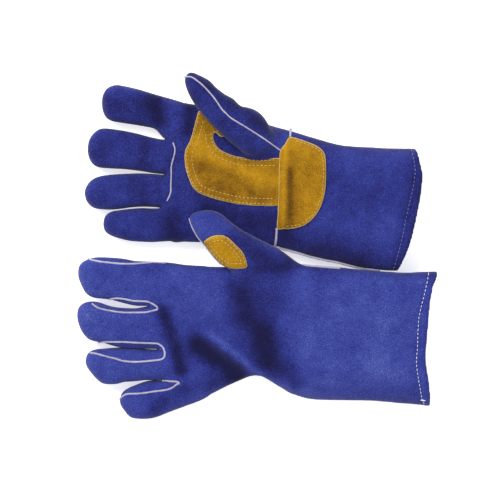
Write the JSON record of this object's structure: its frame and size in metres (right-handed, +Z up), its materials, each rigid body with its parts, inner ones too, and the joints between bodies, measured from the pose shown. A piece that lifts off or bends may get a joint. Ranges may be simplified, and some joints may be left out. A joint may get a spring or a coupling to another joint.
{
  "type": "welding gloves",
  "caption": "Pair of lined leather welding gauntlets with reinforced palms, one palm up and one palm down, that bend at fingers, thumb and wrist",
  "frame": {"origin": "centre of the pair's footprint, on the surface the gloves lie on", "axes": "+X from the fingertips to the cuff mouths, +Y from the left glove to the right glove, +Z up"},
  "size_m": [0.3532, 0.3436, 0.0537],
  "materials": {
    "suede_blue": "split leather with a short nap",
    "suede_gold": "split leather with a short nap",
    "welt": "thin smooth leather strip",
    "lining": "brushed cotton fleece"
  },
  "bodies": {
    "right_hand": {"right_palm_panel": "suede_blue", "right_back_panel": "suede_blue", "right_hand_lining": "lining", "right_palm_patch": "suede_gold", "right_hand_welts": "welt"},
    "right_cuff": {"right_cuff_front": "suede_blue", "right_cuff_back": "suede_blue", "right_cuff_lining": "lining", "right_wrist_patch": "suede_gold"},
    "right_thumb": {"right_thumb_front": "suede_blue", "right_thumb_back": "suede_blue", "right_thumb_welt": "welt", "right_thumb_patch": "suede_gold", "right_thumb_lining": "lining"},
    "right_index": {"right_index_front": "suede_blue", "right_index_back": "suede_blue", "right_index_fourchettes": "suede_blue", "right_index_lining": "lining"},
    "right_middle": {"right_middle_front": "suede_blue", "right_middle_back": "suede_blue", "right_middle_fourchettes": "suede_blue", "right_middle_lining": "lining"},
    "right_ring": {"right_ring_front": "suede_blue", "right_ring_back": "suede_blue", "right_ring_fourchettes": "suede_blue", "right_ring_lining": "lining"},
    "right_little": {"right_little_front": "suede_blue", "right_little_back": "suede_blue", "right_little_fourchettes": "suede_blue", "right_little_lining": "lining"},
    "left_hand": {"left_palm_panel": "suede_blue", "left_back_panel": "suede_blue", "left_hand_lining": "lining", "left_palm_patch": "suede_gold", "left_hand_welts": "welt"},
    "left_cuff": {"left_cuff_front": "suede_blue", "left_cuff_back": "suede_blue", "left_cuff_lining": "lining", "left_wrist_patch": "suede_gold"},
    "left_thumb": {"left_thumb_front": "suede_blue", "left_thumb_back": "suede_blue", "left_thumb_welt": "welt", "left_thumb_patch": "suede_gold", "left_thumb_lining": "lining"},
    "left_index": {"left_index_front": "suede_blue", "left_index_back": "suede_blue", "left_index_fourchettes": "suede_blue", "left_index_lining": "lining"},
    "left_middle": {"left_middle_front": "suede_blue", "left_middle_back": "suede_blue", "left_middle_fourchettes": "suede_blue", "left_middle_lining": "lining"},
    "left_ring": {"left_ring_front": "suede_blue", "left_ring_back": "suede_blue", "left_ring_fourchettes": "suede_blue", "left_ring_lining": "lining"},
    "left_little": {"left_little_front": "suede_blue", "left_little_back": "suede_blue", "left_little_fourchettes": "suede_blue", "left_little_lining": "lining"}
  },
  "joints": [
    {"name": "right_index_flex", "type": "hinge", "parent": "right_hand", "child": "right_index", "pos_m": [-0.09898, 0.13209, 0.012], "axis": [0.229, 0.9734, 0], "range_deg": [0, 60]},
    {"name": "right_middle_flex", "type": "hinge", "parent": "right_hand", "child": "right_middle", "pos_m": [-0.10131, 0.09164, 0.012], "axis": [0.0995, 0.995, 0], "range_deg": [0, 60]},
    {"name": "right_ring_flex", "type": "hinge", "parent": "right_hand", "child": "right_ring", "pos_m": [-0.10238, 0.05637, 0.012], "axis": [-0.0185, 0.9998, 0], "range_deg": [0, 60]},
    {"name": "right_little_flex", "type": "hinge", "parent": "right_hand", "child": "right_little", "pos_m": [-0.10238, 0.02253, 0.012], "axis": [-0.0079, 1, 0], "range_deg": [0, 60]},
    {"name": "right_thumb_swing", "type": "hinge", "parent": "right_hand", "child": "right_thumb", "pos_m": [-0.02238, 0.12665, 0.039], "axis": [0, 0, 1], "range_deg": [-12, 20]},
    {"name": "right_wrist_bend", "type": "hinge", "parent": "right_hand", "child": "right_cuff", "pos_m": [0.03862, 0.0559, 0.01393], "axis": [0, -1, 0], "range_deg": [0, 40]},
    {"name": "left_index_flex", "type": "hinge", "parent": "left_hand", "child": "left_index", "pos_m": [-0.11635, -0.0379, 0.02217], "axis": [-0.0674, -0.9939, -0.087], "range_deg": [0, 60]},
    {"name": "left_middle_flex", "type": "hinge", "parent": "left_hand", "child": "left_middle", "pos_m": [-0.10533, -0.08053, 0.01844], "axis": [-0.0811, -0.9929, -0.0869], "range_deg": [0, 60]},
    {"name": "left_ring_flex", "type": "hinge", "parent": "left_hand", "child": "left_ring", "pos_m": [-0.09338, -0.1176, 0.0152], "axis": [0, -0.9962, -0.0872], "range_deg": [0, 60]},
    {"name": "left_little_flex", "type": "hinge", "parent": "left_hand", "child": "left_little", "pos_m": [-0.08321, -0.15072, 0.0123], "axis": [0.1498, -0.985, -0.0862], "range_deg": [0, 60]},
    {"name": "left_thumb_swing", "type": "hinge", "parent": "left_hand", "child": "left_thumb", "pos_m": [-0.02838, -0.00192, 0.03536], "axis": [0, -0.0872, 0.9962], "range_deg": [-12, 20]},
    {"name": "left_wrist_bend", "type": "hinge", "parent": "left_hand", "child": "left_cuff", "pos_m": [0.02562, -0.08102, 0.02065], "axis": [0, -0.9962, -0.0872], "range_deg": [0, 40]},
    {"name": "left_glove_lift", "type": "slide", "parent": "right_hand", "child": "left_hand", "axis": [0, 0, 1], "range_m": [0, 0.12]}
  ]
}
